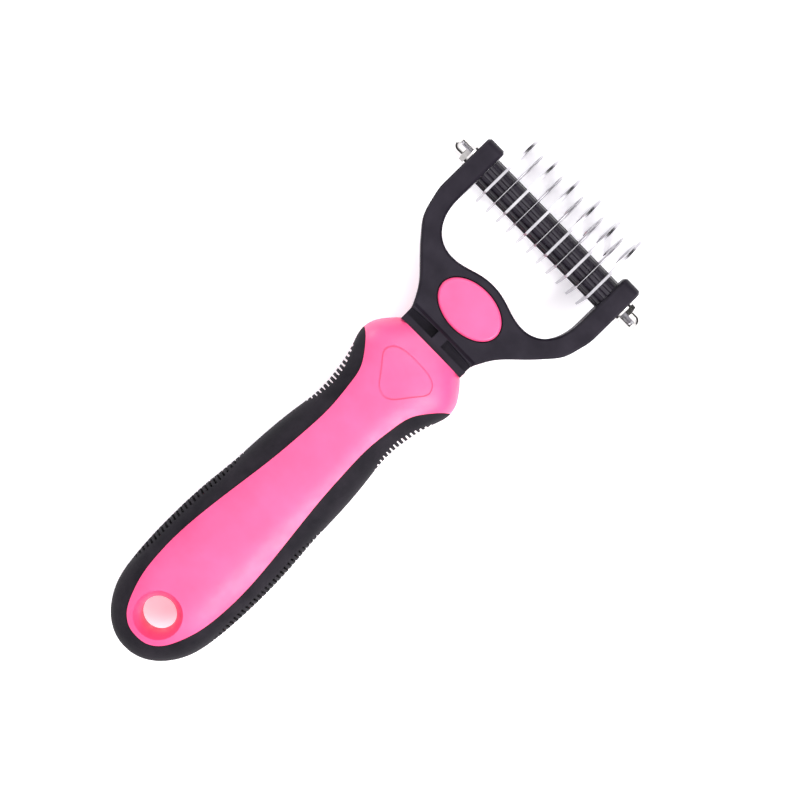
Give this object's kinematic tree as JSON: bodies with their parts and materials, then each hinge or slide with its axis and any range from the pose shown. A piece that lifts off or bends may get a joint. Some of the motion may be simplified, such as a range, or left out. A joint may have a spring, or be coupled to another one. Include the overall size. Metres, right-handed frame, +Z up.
{
  "type": "dematting comb",
  "caption": "Hand-held dematting comb: a soft-grip handle carries a Y-shaped yoke with a row of hooked steel blades clamped on a rod between cap nuts.",
  "frame": {"origin": "centre of the comb's plan, on the surface that it lies on, hooks down", "axes": "+X across the comb along the blade rod, +Y along the handle from the butt to the blades, +Z up, away from the hooks"},
  "size_m": [0.0674, 0.17, 0.0236],
  "materials": {
    "pink_plastic": "satin moulded",
    "black_rubber": "matt, fine grain",
    "black_plastic": "satin moulded",
    "spacer_plastic": "satin moulded",
    "blade_steel": "ground and polished",
    "rod_steel": "turned",
    "nut_chrome": "polished"
  },
  "bodies": {
    "handle_and_yoke": {"front_shell": "pink_plastic", "back_shell": "pink_plastic", "rubber_grip": "black_rubber", "yoke_frame": "black_plastic", "front_inlay": "pink_plastic", "back_inlay": "pink_plastic"},
    "blade_pack": {"blade_rod": "rod_steel", "blade_01": "blade_steel", "blade_02": "blade_steel", "blade_03": "blade_steel", "blade_04": "blade_steel", "blade_05": "blade_steel", "blade_06": "blade_steel", "blade_07": "blade_steel", "blade_08": "blade_steel", "blade_09": "blade_steel", "blade_10": "blade_steel", "blade_11": "blade_steel", "spacer_01": "spacer_plastic", "spacer_02": "spacer_plastic", "spacer_03": "spacer_plastic", "spacer_04": "spacer_plastic", "spacer_05": "spacer_plastic", "spacer_06": "spacer_plastic", "spacer_07": "spacer_plastic", "spacer_08": "spacer_plastic", "spacer_09": "spacer_plastic", "spacer_10": "spacer_plastic", "spacer_11": "spacer_plastic", "spacer_12": "spacer_plastic"},
    "right_washer_ring": {"right_washer": "nut_chrome"},
    "right_nut": {"right_cap_nut": "nut_chrome"},
    "left_washer_ring": {"left_washer": "nut_chrome"},
    "left_nut": {"left_cap_nut": "nut_chrome"}
  },
  "joints": [
    {"name": "blade_pack_turn", "type": "hinge", "parent": "handle_and_yoke", "child": "blade_pack", "pos_m": [0, 0.0675, 0.0118], "axis": [1, 0, 0], "range_deg": [-90, 150]},
    {"name": "right_nut_travel", "type": "slide", "parent": "blade_pack", "child": "right_washer_ring", "axis": [1, 0, 0], "range_m": [0, 0.0035]},
    {"name": "right_nut_turn", "type": "hinge", "parent": "right_washer_ring", "child": "right_nut", "pos_m": [0.03, 0.0675, 0.0118], "axis": [1, 0, 0], "range_deg": [0, 2520]},
    {"name": "left_nut_travel", "type": "slide", "parent": "blade_pack", "child": "left_washer_ring", "axis": [-1, 0, 0], "range_m": [0, 0.0035]},
    {"name": "left_nut_turn", "type": "hinge", "parent": "left_washer_ring", "child": "left_nut", "pos_m": [-0.03, 0.0675, 0.0118], "axis": [-1, 0, 0], "range_deg": [0, 2520]}
  ],
  "couplings": [
    {"joint": "right_nut_turn", "follows": "right_nut_travel", "rad_per_m": 12566},
    {"joint": "left_nut_turn", "follows": "left_nut_travel", "rad_per_m": 12566}
  ]
}
